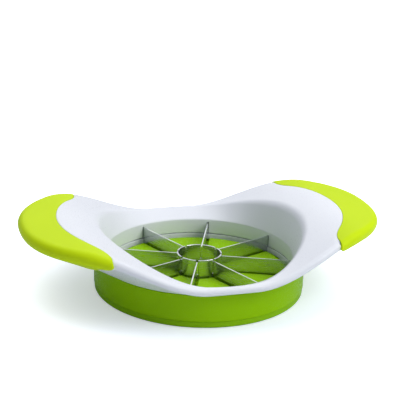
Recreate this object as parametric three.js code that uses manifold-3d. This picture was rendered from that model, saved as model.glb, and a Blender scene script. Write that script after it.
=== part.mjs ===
// Apple slicer wedger press: a blade frame with two wing handles that comes down onto a slotted base.
// Millimetres, +Z up. X runs along the handles, Y across them. The origin is under the middle of the base.
import * as THREE from "three";
import { LoftGeometry } from "three/addons/geometries/LoftGeometry.js";
import { mergeVertices } from "three/addons/utils/BufferGeometryUtils.js";
import Module from "manifold-3d";

const wasm = await Module();
wasm.setup();

// Clearances
const fitGap = 0.3; // between pieces that touch or are clipped together
const slideGap = 0.4; // round the collar, where it drops into the base
const padClearance = 2; // from the pads out to the inside of the collar
const corerClearance = 1.3; // each side of the corer, where it enters the base
const overrun = 2; // how far a cutting shape runs past what it cuts

// Base
const baseRadius = 54;
const baseHeight = 17.1;
const baseWall = 2.2;
const floorThickness = 2;
const padHeight = 3.2; // of the eight raised wedges on the floor
const padSkin = 2; // plastic left over the hollows under the pads
const slotWidth = 2.6; // in the base, for the blades
const rimRound = 0.6; // small rounding on the base's edges
const footHeight = 3.1;
const footWidth = 8.2;
const footSetback = 0.3; // of the foot ring behind the base's wall
const footRound = 1;
const ribWidth = 2; // tongue under the base that keys into the foot ring
const ribDepth = 1.5;
const ribSetback = 3.4;

// Frame outline and saddle
const skirtOverhang = 0.3; // of the frame's foot past the base's wall
const ridgeSetout = 2.9; // from the foot out to where the top face begins to roll into the mouth
const frontReach = 2; // from there to the edge at front and back
const wingReach = 35.1; // and to the handles' ends
const outlineExponent = 2.36; // 2 is an ellipse, more is squarer
const landThickness = 1.2; // of the ring that rests on the base's rim
const saddleRise = 4; // top face at front and back, over that ring
const wingRise = 17.4; // top face at the handles, over that at front and back
const riseStart = 11.8; // distance from the middle where the top face begins to climb
const riseEnd = 71.2;
const frontEdge = 3.8; // thickness of the rounded edge at front and back
const handleEdge = 6.4;
const skin = 1.8;
const frontLip = 1.9; // radius of the roll into the mouth at front and back
const sideLip = 7;
const slotRoof = 1.5; // plastic over the blades' slots, where the mouth's slope ends

// Blades and corer
const bladeCount = 8;
const bladeThickness = 0.6;
const bladeHeight = 9.8;
const bevelHeight = 1.2;
const tabLift = 3.5; // the blade's end tabs are this much shorter at the bottom
const tabLength = 2;
const bladeReach = 1.8; // of the cutting edges below the top of the pads
const corerRadius = 11.6;
const corerWall = 0.8;
const corerRise = 1.1; // of the corer's top over the blades
const corerDrop = 0.4; // of its cutting edge under theirs
const corerBevel = 1.5;
const collarWall = 3.4;

// Grips
const gripArcCentre = 18.4; // of the arc that ends a grip towards the mouth, from the middle
const gripArcInset = 2.3; // the arc's radius is this much less than the ridge's
const gripArmSetout = 2.2; // from the frame's foot out to the ends of a grip's arms
const gripCorner = 6;
const gripWall = 1.7;
const gripProud = 1.6; // how far the grips stand out past the shells' edges and underside at the handles
const gripBand = 2.2; // width of the step in the shells where a grip begins
const tongueEndShare = 0.96; // how far the tongues reach from the ridge to the edge
const stepEndShare = 0.9;

// Screws
const screwSetout = 6.7; // from the frame's foot out to the screws
const screwSpread = 28; // degrees between neighbouring screws under a wing
const screwsPerWing = 3;
const screwHeadRadius = 2.8;
const screwHeadHeight = 1.9;
const screwShankRadius = 1.3;
const screwLength = 7.4;
const screwSeatRise = 3.9; // of the seats over the saddle
const screwSeatThickness = 1.5;
const screwPocketWall = 1.2;
const bossWall = 2.1;
const pilotRoom = 0.7; // past the screws' tips
const recessWidth = 0.8; // of the cross recess in a head
const recessLength = 3;
const recessDepth = 1.1;

// Heights worked out from the sizes above
const footTop = footHeight;
const baseBottom = footTop + fitGap;
const floorTop = baseBottom + floorThickness;
const padTop = floorTop + padHeight;
const bladeEdge = padTop - bladeReach;
const bladeTop = bladeEdge + bladeHeight;
const tabBottom = bladeEdge + tabLift;
const collarBottom = tabBottom;
const retainerTop = collarBottom - fitGap;
const slotTop = bladeTop + fitGap;
const throatTop = slotTop + slotRoof;
const frameSeat = baseHeight + fitGap;
const landTop = frameSeat + landThickness;
const saddleHeight = landTop + saddleRise;
const handleHeight = saddleHeight + wingRise;
const screwSeat = saddleHeight + screwSeatRise;
const screwHeadTop = screwSeat - fitGap;
const screwTip = screwHeadTop + screwLength;
const pocketTop = screwSeat + screwSeatThickness;
const bossBottom = pocketTop + fitGap;

// Plan sizes worked out from them
const collarOuter = baseRadius - baseWall - slideGap;
const collarInner = collarOuter - collarWall;
const landInner = collarOuter + fitGap;
const skirtRadius = baseRadius + skirtOverhang;
const ridgeRadius = skirtRadius + ridgeSetout;
const frameLength = 2 * (ridgeRadius + wingReach);
const frameWidth = 2 * (ridgeRadius + frontReach);
const padRadius = collarInner - padClearance;
const corerInner = corerRadius - corerWall;
const grooveOuter = corerRadius + corerClearance;
const grooveInner = corerInner - corerClearance;
const bladeSlot = bladeThickness + 2 * fitGap;
const bladeTurn = (2 * Math.PI) / bladeCount;
const gripArcRadius = ridgeRadius - gripArcInset;
const gripArmEnd = skirtRadius + gripArmSetout;
const screwCircle = skirtRadius + screwSetout;
const screwPilot = screwShankRadius + fitGap;
const screwPocket = screwHeadRadius + fitGap;

// Fineness of the curves
const loftSteps = 60;
const arcSteps = 2;
const latheSteps = 60;
const corerSteps = 24;
const screwSteps = 12;
const gripArcSteps = 10;
const hollowSteps = 4;
const topShares = [0.3, 0.65]; // extra points across the top face, from the ridge out
const hullShares = [0.35, 0.7]; // and across the underside, from the edge in

// Materials
function plastic(name, color, roughness) {
  return new THREE.MeshStandardMaterial({ name, color, roughness, metalness: 0 });
}

function steel(name, color, roughness) {
  return new THREE.MeshStandardMaterial({ name, color, roughness, metalness: 1 });
}

const whitePlastic = plastic("white_plastic", 0xf3f4f8, 0.32);
const limeGrip = plastic("lime_grip", 0xc9e92e, 0.5);
const greenPlastic = plastic("green_plastic", 0x84ba0c, 0.3);
const greenFoot = plastic("green_foot", 0x7eb30c, 0.6);
const bladeSteel = steel("blade_steel", 0xc9ccd0, 0.25);
const screwSteel = steel("screw_steel", 0xb5b8bd, 0.4);

// Solids: geometry to manifold and back
function solid(geometry) {
  const bare = new THREE.BufferGeometry().setAttribute("position", geometry.attributes.position);
  bare.setIndex(geometry.index);
  const merged = mergeVertices(bare);
  const corners = merged.index.array;
  const triangles = [];
  for (let i = 0; i < corners.length; i += 3) {
    const [a, b, c] = corners.slice(i, i + 3);
    if (a !== b && b !== c && c !== a) triangles.push(a, b, c);
  }
  return new wasm.Manifold(
    new wasm.Mesh({
      numProp: 3,
      vertProperties: new Float32Array(merged.attributes.position.array),
      triVerts: new Uint32Array(triangles),
    }),
  );
}

function geometryOf(body) {
  const mesh = body.getMesh();
  return new THREE.BufferGeometry()
    .setAttribute("position", new THREE.BufferAttribute(new Float32Array(mesh.vertProperties), 3))
    .setIndex(new THREE.BufferAttribute(new Uint32Array(mesh.triVerts), 1));
}

function outline(points) {
  return new THREE.Shape(points.map(([x, y]) => new THREE.Vector2(x, y)));
}

function extrudeUp(shape, low, high, curveSegments = gripArcSteps) {
  const options = { depth: high - low, bevelEnabled: false, curveSegments };
  return new THREE.ExtrudeGeometry(shape, options).translate(0, 0, low);
}

// A shape drawn in X and Z, made a plate of the given thickness about the XZ plane
function plateAlongX(shape, thickness) {
  return extrudeUp(shape, -thickness / 2, thickness / 2).rotateX(Math.PI / 2);
}

function box(lowX, highX, width, lowZ, highZ) {
  const geometry = new THREE.BoxGeometry(highX - lowX, width, highZ - lowZ);
  return geometry.translate((lowX + highX) / 2, 0, (lowZ + highZ) / 2);
}

function cylinder(radius, low, high, steps = screwSteps) {
  const geometry = new THREE.CylinderGeometry(radius, radius, high - low, steps);
  return geometry.rotateX(Math.PI / 2).translate(0, 0, (low + high) / 2);
}

// A turned ring or disc about Z from points of radius and height
function turned(points, steps = latheSteps) {
  const profile = points.map(([r, z]) => new THREE.Vector2(r, z));
  return new THREE.LatheGeometry(profile, steps).rotateX(Math.PI / 2);
}

function turnedRing(points, steps) {
  return turned([...points, points[0]], steps);
}

// Cuts the same shape out of a body at every blade
function atBlades(body, cutter) {
  for (let i = 0; i < bladeCount; i++) body = body.subtract(solid(cutter.clone().rotateZ(bladeAngle(i))));
  return body;
}

// Blades lie half a turn step off the handles' axis, so that no blade points at a handle
function bladeAngle(index) {
  return (index + 1 / 2) * bladeTurn;
}

// Shape of the frame
function climb(x) {
  const share = THREE.MathUtils.clamp((Math.abs(x) - riseStart) / (riseEnd - riseStart), 0, 1);
  return share * share * (3 - 2 * share);
}

function topHeight(x) {
  return THREE.MathUtils.lerp(saddleHeight, handleHeight, climb(x));
}

function outlineRadius(angle) {
  const along = Math.abs(Math.cos(angle)) / (frameLength / 2);
  const across = Math.abs(Math.sin(angle)) / (frameWidth / 2);
  return (along ** outlineExponent + across ** outlineExponent) ** (-1 / outlineExponent);
}

// The sizes of the frame's section at one angle. The edge thins towards the front and back, and thin is its
// thickness there against the handles' own. Anything drawn in from the outer faces by inset thins with it.
// Under keeps a section back from the grips' outer faces at its edge and underside, more towards the handles.
function station(angle, inset = 0, under = 0) {
  const direction = Math.cos(angle);
  const share = climb(outlineRadius(angle) * direction);
  const outer = outlineRadius(angle) - under * share;
  const outerEdge = THREE.MathUtils.lerp(frontEdge, handleEdge - under, share) / 2;
  const thin = (2 * outerEdge) / handleEdge;
  const edge = outerEdge - inset * thin;
  const shoulder = outer - outerEdge;
  const top = (radius) => topHeight(radius * direction) - inset * thin;
  const partZ = top(shoulder) - edge;
  const lip = THREE.MathUtils.lerp(frontLip, sideLip, climb(ridgeRadius * direction));
  const hull = (share) => [
    THREE.MathUtils.lerp(shoulder, skirtRadius, share),
    THREE.MathUtils.lerp(partZ - edge, frameSeat + inset * thin, share),
  ];
  return { edge, shoulder, top, partZ, lip, hull, thin };
}

// A point of the top face, part of the way from the ridge to the shoulder of the edge
function crown({ top, shoulder }, share) {
  const radius = THREE.MathUtils.lerp(ridgeRadius, shoulder, share);
  return [radius, top(radius)];
}

function arc(centreR, centreZ, radius, from, to, steps = arcSteps) {
  const points = [];
  for (let i = 0; i <= steps; i++) {
    const turn = THREE.MathUtils.lerp(from, to, i / steps);
    points.push([centreR + radius * Math.cos(turn), centreZ + radius * Math.sin(turn)]);
  }
  return points;
}

// Section of the top shell without its tongues. The mouth's slope runs from the collar up to the lip and is
// tangent to it.
function topSection(angle) {
  const place = station(angle, 0, gripProud);
  const { edge, shoulder, top, partZ, lip } = place;
  const under = ([radius, height]) => [radius, height - skin];
  const lipHeight = top(ridgeRadius) - lip;
  const run = ridgeRadius - collarInner;
  const rise = lipHeight - throatTop;
  const slope = Math.atan2(rise, run) + Math.asin(lip / Math.hypot(run, rise));
  return [
    [collarInner, collarBottom],
    [collarInner, throatTop],
    ...arc(ridgeRadius, lipHeight, lip, Math.PI / 2 + slope, Math.PI / 2),
    ...topShares.map((share) => crown(place, share)),
    ...arc(shoulder, partZ, edge, Math.PI / 2, 0),
    [shoulder + edge - skin, partZ],
    under(crown(place, 1)),
    ...[...topShares].reverse().map((share) => under(crown(place, share))),
    under(crown(place, 0)),
    [ridgeRadius - lip + skin, lipHeight],
    [collarOuter, landTop + fitGap],
    [collarOuter, collarBottom],
  ];
}

// Section of the bottom shell without its tongues, with the land that rests on the base's rim
function bottomSection(angle) {
  const { edge, shoulder, partZ, hull } = station(angle, 0, gripProud);
  const seam = partZ - fitGap;
  const over = (share) => [hull(share)[0], Math.min(hull(share)[1] + skin, seam)];
  return [
    [landInner, frameSeat],
    [landInner, landTop],
    [skirtRadius, landTop],
    ...[...hullShares].reverse().map(over),
    over(0),
    [shoulder + edge - skin, seam],
    [shoulder + edge, seam],
    ...arc(shoulder, partZ, edge, 0, -Math.PI / 2).slice(1),
    ...hullShares.map(hull),
    [skirtRadius, frameSeat],
  ];
}

// Section of a layer inside a wing that follows the top face, between two depths under it at the handles
function topLayer(angle, near, far, endShare) {
  const place = station(angle);
  const shares = [0, ...topShares, endShare];
  const at = (depth) => (share) => [crown(place, share)[0], crown(place, share)[1] - depth * place.thin];
  return [...shares.map(at(near)), ...[...shares].reverse().map(at(far))];
}

// The same over the underside
function bottomLayer(angle, near, far, endShare) {
  const place = station(angle);
  const shares = [1, ...[...hullShares].reverse(), 1 - endShare];
  const at = (depth) => (share) => [place.hull(share)[0], place.hull(share)[1] + depth * place.thin];
  return [...shares.map(at(far)), ...[...shares].reverse().map(at(near))];
}

// Section of a wing's whole outer form, from the ridge round the mouth outwards
function wingSection(angle, inset) {
  const place = station(angle, inset);
  const { edge, shoulder, partZ, hull, top } = place;
  const ridgeShare = (shoulder - ridgeRadius) / (shoulder - skirtRadius);
  return [
    hull(ridgeShare),
    [ridgeRadius, top(ridgeRadius)],
    ...topShares.map((share) => crown(place, share)),
    ...arc(shoulder, partZ, edge, Math.PI / 2, -Math.PI / 2, 2 * arcSteps),
    ...hullShares.map((share) => hull(share * ridgeShare)),
  ];
}

function wholeRing(section) {
  const rows = [];
  for (let i = 0; i <= loftSteps; i++) {
    rows.push(sectionPoints(section, ((i % loftSteps) * 2 * Math.PI) / loftSteps));
  }
  return solid(new LoftGeometry(rows));
}

function sectionPoints(section, angle) {
  return section(angle).map(([r, z]) => new THREE.Vector3(r * Math.cos(angle), r * Math.sin(angle), z));
}

// Upright block over the plan of one grip: outside the arc, out to past the wing, ending square at the arms
function gripZone(setback) {
  const radius = gripArcRadius + setback;
  const end = gripArmEnd + setback;
  const armAngle = Math.acos((end - gripArcCentre) / radius);
  const cornerAngle = armAngle - gripCorner / radius;
  const cornerX = gripArcCentre + radius * Math.cos(cornerAngle);
  const cornerY = radius * Math.sin(cornerAngle);
  const armY = radius * Math.sin(armAngle);
  const far = frameLength / 2 + overrun;
  const side = frameWidth / 2 + overrun;
  const shape = new THREE.Shape();
  shape.moveTo(end, -side);
  shape.lineTo(far, -side);
  shape.lineTo(far, side);
  shape.lineTo(end, side);
  shape.lineTo(end, armY + gripCorner);
  shape.quadraticCurveTo(end, armY, cornerX, cornerY);
  shape.absarc(gripArcCentre, 0, radius, cornerAngle, -cornerAngle, true);
  shape.quadraticCurveTo(end, -armY, end, -armY - gripCorner);
  return solid(extrudeUp(shape, 0, handleHeight + overrun));
}

function makeGrip(turn) {
  const outer = wholeRing((angle) => wingSection(angle, 0)).intersect(gripZone(fitGap).rotate([0, 0, turn]));
  return outer.subtract(wholeRing((angle) => wingSection(angle, gripWall)));
}

// Cuts a shell back where the grips lie, steps it down there and carries it on as a tongue inside each grip
function withTongues(shell, layer) {
  const tongueNear = gripWall + fitGap;
  const tongueFar = handleEdge / 2 - fitGap;
  const stepFar = (tongueFar + handleEdge / 2) / 2;
  const step = wholeRing((angle) => layer(angle, skin / 2, stepFar, stepEndShare));
  const tongue = wholeRing((angle) => layer(angle, tongueNear, tongueFar, tongueEndShare));
  for (const turn of [0, 180]) {
    shell = shell.add(step.intersect(gripZone(-gripBand).rotate([0, 0, turn])));
    shell = shell.subtract(gripZone(0).rotate([0, 0, turn]));
    shell = shell.add(tongue.intersect(gripZone(-gripBand / 2).rotate([0, 0, turn])));
  }
  return shell;
}

function screwPlaces() {
  const places = [];
  for (const wing of [0, Math.PI]) {
    for (let i = 0; i < screwsPerWing; i++) {
      const turn = wing + THREE.MathUtils.degToRad(screwSpread) * (i - (screwsPerWing - 1) / 2);
      places.push([screwCircle * Math.cos(turn), screwCircle * Math.sin(turn), turn]);
    }
  }
  return places;
}

// Cuts the same shape out of a body at every screw
function atScrews(body, shape) {
  for (const [x, y] of screwPlaces()) body = body.subtract(shape.translate([x, y, 0]));
  return body;
}

// Upper half of the frame: saddle face, mouth, slotted collar that drops into the base, screw bosses
function makeTopShell() {
  const boss = solid(cylinder(screwPilot + bossWall, bossBottom, handleHeight));
  const room = wholeRing((angle) => wingSection(angle, skin / 2));
  let shell = withTongues(wholeRing(topSection), topLayer);
  for (const [x, y] of screwPlaces()) shell = shell.add(boss.translate([x, y, 0]).intersect(room));
  shell = atScrews(shell, solid(cylinder(screwPilot, bossBottom - overrun, screwTip + pilotRoom)));
  const slotEnd = collarInner + tabLength + fitGap;
  return atBlades(shell, box(collarInner - overrun, slotEnd, bladeSlot, collarBottom - overrun, slotTop));
}

// Lower half of the frame: hull under the wings, land that sits on the base, screw pockets
function makeBottomShell() {
  const pocket = solid(cylinder(screwPocket + screwPocketWall, frameSeat, pocketTop));
  const room = wholeRing((angle) => wingSection(angle, skin / 2));
  let shell = withTongues(wholeRing(bottomSection), bottomLayer);
  for (const [x, y] of screwPlaces()) shell = shell.add(pocket.translate([x, y, 0]).intersect(room));
  shell = atScrews(shell, solid(cylinder(screwPocket, frameSeat - overrun, screwSeat)));
  return atScrews(shell, solid(cylinder(screwPilot, screwSeat - overrun, pocketTop + overrun)));
}

// Ring under the collar that shuts the blades' slots
function makeBladeRetainer() {
  const ring = turnedRing([
    [collarInner, bladeEdge + rimRound],
    [collarInner + rimRound, bladeEdge],
    [collarOuter - rimRound, bladeEdge],
    [collarOuter, bladeEdge + rimRound],
    [collarOuter, retainerTop],
    [collarInner, retainerTop],
  ]);
  return solid(ring);
}

function makeScrew() {
  const headBottom = screwHeadTop - screwHeadHeight;
  const chamfer = screwShankRadius / 2;
  const body = turned(
    [
      [0, headBottom],
      [screwHeadRadius - chamfer, headBottom],
      [screwHeadRadius, headBottom + chamfer],
      [screwHeadRadius, screwHeadTop],
      [screwShankRadius, screwHeadTop],
      [screwShankRadius, screwTip - screwShankRadius],
      [0, screwTip],
    ],
    screwSteps,
  );
  const reach = recessLength / 2;
  const arm = box(-reach, reach, recessWidth, headBottom - overrun, headBottom + recessDepth);
  return solid(body).subtract(solid(arm)).subtract(solid(arm.clone().rotateZ(Math.PI / 2)));
}

// One blade lying along X: a strip with a bevelled lower edge, and a tab at each end
function makeBlade() {
  const half = bladeThickness / 2;
  const tongueStart = corerInner + fitGap;
  const bodyStart = corerRadius + fitGap;
  const bodyEnd = collarInner - fitGap;
  const tabEnd = collarInner + tabLength;
  const section = outline([
    [0, bladeEdge],
    [half, bladeEdge + bevelHeight],
    [half, bladeTop],
    [-half, bladeTop],
    [-half, bladeEdge + bevelHeight],
  ]);
  const strip = extrudeUp(section, tongueStart, tabEnd).rotateX(Math.PI / 2).rotateZ(Math.PI / 2);
  const side = outline([
    [tongueStart, tabBottom],
    [bodyStart, tabBottom],
    [bodyStart, bladeEdge - overrun],
    [bodyEnd, bladeEdge - overrun],
    [bodyEnd, tabBottom],
    [tabEnd, tabBottom],
    [tabEnd, bladeTop + overrun],
    [tongueStart, bladeTop + overrun],
  ]);
  return solid(strip).intersect(solid(plateAlongX(side, bladeThickness + overrun)));
}

// Steel tube with a ground lower edge and a notch for each blade
function makeCorer() {
  const bottom = bladeEdge - corerDrop;
  const top = bladeTop + corerRise;
  const tube = turnedRing(
    [
      [corerInner, bottom],
      [corerRadius, bottom + corerBevel],
      [corerRadius, top],
      [corerInner, top],
    ],
    corerSteps,
  );
  const far = corerRadius + overrun;
  const notch = box(corerInner - overrun, far, bladeSlot, tabBottom - fitGap, top + overrun);
  return atBlades(solid(tube), notch);
}

// Base: a wall, a floor with eight wedge pads between the blade slots, and a rib below for the foot ring
function makeBaseCup() {
  const inner = baseRadius - baseWall;
  const ribOuter = baseRadius - ribSetback;
  const body = turned([
    [0, baseBottom],
    [ribOuter - ribWidth, baseBottom],
    [ribOuter - ribWidth, baseBottom - ribDepth],
    [ribOuter, baseBottom - ribDepth],
    [ribOuter, baseBottom],
    [baseRadius - rimRound, baseBottom],
    [baseRadius, baseBottom + rimRound],
    [baseRadius, baseHeight - rimRound],
    [baseRadius - rimRound, baseHeight],
    [inner + rimRound, baseHeight],
    [inner, baseHeight - rimRound],
    [inner, floorTop],
    [padRadius, floorTop],
    [padRadius, padTop - rimRound],
    [padRadius - rimRound, padTop],
    [0, padTop],
  ]);
  const groove = turnedRing([
    [grooveInner, floorTop],
    [grooveOuter, floorTop],
    [grooveOuter, padTop + overrun],
    [grooveInner, padTop + overrun],
  ]);
  const slot = box(grooveInner, padRadius + overrun, slotWidth, floorTop, padTop + overrun);
  let cup = atBlades(solid(body).subtract(solid(groove)), slot);
  const hollow = padHollow();
  for (let i = 0; i < bladeCount; i++) cup = cup.subtract(hollow.rotate([0, 0, (360 * i) / bladeCount]));
  return cup;
}

// Wedge-shaped hollow under one pad, open below
function padHollow() {
  const wall = slotWidth / 2 + padSkin;
  const low = grooveOuter + padSkin;
  const high = padRadius - padSkin;
  const spread = (radius) => bladeTurn / 2 - Math.asin(wall / radius);
  const shape = new THREE.Shape();
  const apex = wall / Math.sin(bladeTurn / 2);
  const start = Math.max(low, apex + padSkin);
  shape.moveTo(start * Math.cos(spread(start)), -start * Math.sin(spread(start)));
  shape.lineTo(high * Math.cos(spread(high)), -high * Math.sin(spread(high)));
  shape.absarc(0, 0, high, -spread(high), spread(high), false);
  shape.lineTo(start * Math.cos(spread(start)), start * Math.sin(spread(start)));
  return solid(extrudeUp(shape, baseBottom - overrun, padTop - padSkin, hollowSteps));
}

// Soft ring that the base stands on, with a channel on top for the base's rib
function makeFootRing() {
  const outer = baseRadius - footSetback;
  const inner = outer - footWidth;
  const ribOuter = baseRadius - ribSetback;
  const channelFloor = baseBottom - ribDepth - fitGap;
  const ring = turnedRing([
    [inner + rimRound, 0],
    [outer - footRound, 0],
    [outer, footRound],
    [outer, footTop],
    [ribOuter + fitGap, footTop],
    [ribOuter + fitGap, channelFloor],
    [ribOuter - ribWidth - fitGap, channelFloor],
    [ribOuter - ribWidth - fitGap, footTop],
    [inner, footTop],
    [inner, rimRound],
  ]);
  return solid(ring);
}

function piece(name, body, material) {
  const mesh = new THREE.Mesh(geometryOf(body), material);
  mesh.name = name;
  return mesh;
}

// Everything that lifts off together
function makeFrame() {
  const frame = new THREE.Group();
  frame.add(piece("top_shell", makeTopShell(), whitePlastic));
  frame.add(piece("bottom_shell", makeBottomShell(), whitePlastic));
  frame.add(piece("right_grip", makeGrip(0), limeGrip));
  frame.add(piece("left_grip", makeGrip(180), limeGrip));
  frame.add(piece("blade_retainer", makeBladeRetainer(), whitePlastic));
  frame.add(piece("corer_ring", makeCorer(), bladeSteel));
  const blade = makeBlade();
  for (let i = 0; i < bladeCount; i++) {
    const mesh = piece(`blade_${i + 1}`, blade, bladeSteel);
    mesh.rotation.z = bladeAngle(i);
    frame.add(mesh);
  }
  const screw = makeScrew();
  screwPlaces().forEach(([x, y, turn], i) => {
    const mesh = piece(`screw_${i + 1}`, screw, screwSteel);
    mesh.position.set(x, y, 0);
    mesh.rotation.z = turn;
    frame.add(mesh);
  });
  return frame;
}

function makeBase() {
  const base = new THREE.Group();
  base.add(piece("base_cup", makeBaseCup(), greenPlastic));
  base.add(piece("foot_ring", makeFootRing(), greenFoot));
  return base;
}

const slicer = new THREE.Group();
slicer.add(makeFrame(), makeBase());

export default slicer;
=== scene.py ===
"""Apple slicer wedger press: white saddle frame with lime grips and steel blades, on a green base.

Shapes are worked out in millimetres, in the part's own frame, and scaled to metres at the end.
X runs along the handles, Y across them, +Z is up, and the origin is under the middle of the base.
"""
import math

import bmesh
import bpy
from mathutils import Matrix, Quaternion, Vector


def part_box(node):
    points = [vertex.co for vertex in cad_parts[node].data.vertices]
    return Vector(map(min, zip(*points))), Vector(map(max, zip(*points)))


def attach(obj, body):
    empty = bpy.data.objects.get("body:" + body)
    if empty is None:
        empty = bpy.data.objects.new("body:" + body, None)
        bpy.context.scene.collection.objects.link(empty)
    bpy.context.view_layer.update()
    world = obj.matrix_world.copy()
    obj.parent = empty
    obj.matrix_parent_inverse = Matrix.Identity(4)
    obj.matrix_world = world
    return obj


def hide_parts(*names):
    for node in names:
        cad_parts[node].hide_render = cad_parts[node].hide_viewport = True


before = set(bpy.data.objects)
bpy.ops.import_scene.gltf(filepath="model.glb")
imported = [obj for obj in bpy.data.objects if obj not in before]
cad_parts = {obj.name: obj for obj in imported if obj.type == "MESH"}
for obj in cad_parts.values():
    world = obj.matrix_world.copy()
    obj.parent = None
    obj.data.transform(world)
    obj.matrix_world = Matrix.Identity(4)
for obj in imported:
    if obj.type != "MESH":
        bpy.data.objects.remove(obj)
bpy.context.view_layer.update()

MM = 0.001
QUARTER = math.pi / 2

# Corners read from the frame, in millimetres
BASE_LOW, BASE_HIGH = (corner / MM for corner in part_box("base_cup"))
FOOT_LOW, FOOT_HIGH = (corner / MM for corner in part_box("foot_ring"))
GRIP_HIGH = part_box("right_grip")[1] / MM
SHELL_LOW, SHELL_HIGH = (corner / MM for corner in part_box("top_shell"))
RETAINER_LOW, RETAINER_HIGH = (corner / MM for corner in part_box("blade_retainer"))
CORER_LOW, CORER_HIGH = (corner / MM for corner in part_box("corer_ring"))
BLADE_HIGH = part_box("blade_1")[1] / MM
SCREWS = [f"screw_{i}" for i in range(1, 7)]
BLADES = [f"blade_{i}" for i in range(1, 9)]

# Clearances
FIT_GAP = 0.3  # between pieces that are clipped together
SEAM_GAP = 0.05  # hairline between pieces that close on each other in sight
OVERRUN = 2  # how far a cutting shape runs past what it cuts

# Saddle frame
HALF_LENGTH = GRIP_HIGH.x
HALF_WIDTH = SHELL_HIGH.y
HANDLE_HEIGHT = GRIP_HIGH.z
SADDLE_DROP = 17.4  # top face at front and back, under that at the handles
SADDLE_HEIGHT = HANDLE_HEIGHT - SADDLE_DROP
OUTLINE_EXPONENT = 2.36  # 2 is an ellipse, more is squarer
RISE_START = 11.8  # distance from the middle where the top face begins to climb
RISE_END = 71.2
FRONT_EDGE = 3.8  # thickness of the rounded edge at front and back
HANDLE_EDGE = 7  # thickness of the grips' rounded edge at the handles
SHELL_EDGE = 4.8  # thickness of the shells' edge there, under the grips
SKIN = 1.8
SKIRT_OVERHANG = 0.3  # how far the frame's underside stands out past the base before it climbs
SKIRT_RADIUS = BASE_HIGH.x + SKIRT_OVERHANG
RIDGE_OVERHANG = 2.9
RIDGE_RADIUS = SKIRT_RADIUS + RIDGE_OVERHANG  # where the top face begins to roll into the mouth
FRONT_LIP = 1.9  # radius of that roll at front and back
SIDE_LIP = 7
FRAME_SEAT = BASE_HIGH.z + FIT_GAP
LAND_THICKNESS = 1.2  # of the lower shell where it rests on the base
LAND_TOP = FRAME_SEAT + LAND_THICKNESS

# Collar that drops into the base, with the slots that hold the blades
COLLAR_OUTER = RETAINER_HIGH.x
COLLAR_WALL = 3.4
COLLAR_INNER = COLLAR_OUTER - COLLAR_WALL
COLLAR_BOTTOM = SHELL_LOW.z
SLOT_WIDTH = 1.2
SLOT_TOP = BLADE_HIGH.z + FIT_GAP
BLADE_HOLD = 2  # how far the blades' ends reach into the collar
SLOT_END = COLLAR_INNER + BLADE_HOLD + FIT_GAP
SLOT_COVER = 1.5  # collar left over the blades' slots
THROAT_TOP = SLOT_TOP + SLOT_COVER  # where the mouth's slope ends on the collar
THROAT_ROUND = 1.2
RIM_ROUND = 0.5
RETAINER_ROUND = 0.8
EDGE_BREAK = 0.2  # rounding of edges that are just taken off

# Grips
GRIP_ARC_CENTRE = 18.4  # of the arc that ends a grip towards the mouth
GRIP_ARC_SETBACK = 2.3
GRIP_ARC_RADIUS = RIDGE_RADIUS - GRIP_ARC_SETBACK
ARM_CLEARANCE = 2.2  # between the arms' ends and the skirt
GRIP_ARM_END = SKIRT_RADIUS + ARM_CLEARANCE
GRIP_CORNER = 6  # softness of the corner between the arc and an arm's end
GRIP_WALL = 1.7
GRIP_PROUD = 1.6  # how far the grips stand out past the shells' edges and underside at the handles
GRIP_UNDER_CORNER = 12  # softness of the same corner on the underside
GRIP_END_ROUND = 5  # how far the arms' ends turn back under the edge
GRIP_END_WAY = 7  # and over what way, measured down from the edge's middle
SHELL_ROUND = 0.3  # rounding of the shells' edges along the grips
TONGUE = 2  # how far the shells reach on under a grip

# Screws
SCREW_LIFT = 3.9  # of the screws' seats over the saddle's low point
SCREW_SEAT = SADDLE_HEIGHT + SCREW_LIFT
SCREW_POCKET = 3.1  # radius, as the next four are
SCREW_PILOT = 1.6
SCREW_HEAD_RADIUS = 2.8
SCREW_SHANK = 1.3
SCREW_HEAD_ROUND = 1.1
SCREW_HEAD_HEIGHT = 1.9
RECESS = (3, 0.8, 2.2)  # one bar of a screw's cross recess, centred on the head's face
RECESS_TAPER = 0.5  # share of its length that the bar keeps at its bottom
POCKET_WALL = 1.2
SEAT_THICKNESS = 1.5
POCKET_TOP = SCREW_SEAT + SEAT_THICKNESS

# Base
BASE_WALL = 2.2
BASE_ROUND = 0.6
CUP_DEPTH = 8.5  # from the base's rim down to its pads
PAD_TOP = BASE_HIGH.z - CUP_DEPTH
PAD_CLEARANCE = 2  # between the pads and the collar
PAD_RADIUS = COLLAR_INNER - PAD_CLEARANCE
PAD_CORNER = 1  # rounding of a pad's corners, seen from above
HOLLOW_CORNER = 0.5
PAD_SKIN = 2  # plastic left over the hollows under the pads
PAD_ROUND = 0.6
FLOOR_THICKNESS = 2
FOOT_WIDTH = 8.2
FOOT_ROUND = 1  # where the foot's outer side meets the worktop
RIB_SETBACK = 3.4
RIB_WIDTH = 2
BLADE_COUNT = len(BLADES)
GROOVE_WIDTH = 2.6  # in the base, for the blades
CORER_WALL = 0.8
CORER_GRIND = 1.5  # height of the ground lower edge
CORER_ROUND = 0.3  # where that edge runs into the tube
CORER_CLEARANCE = 1.3  # each side of the corer, where it enters the base

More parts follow.
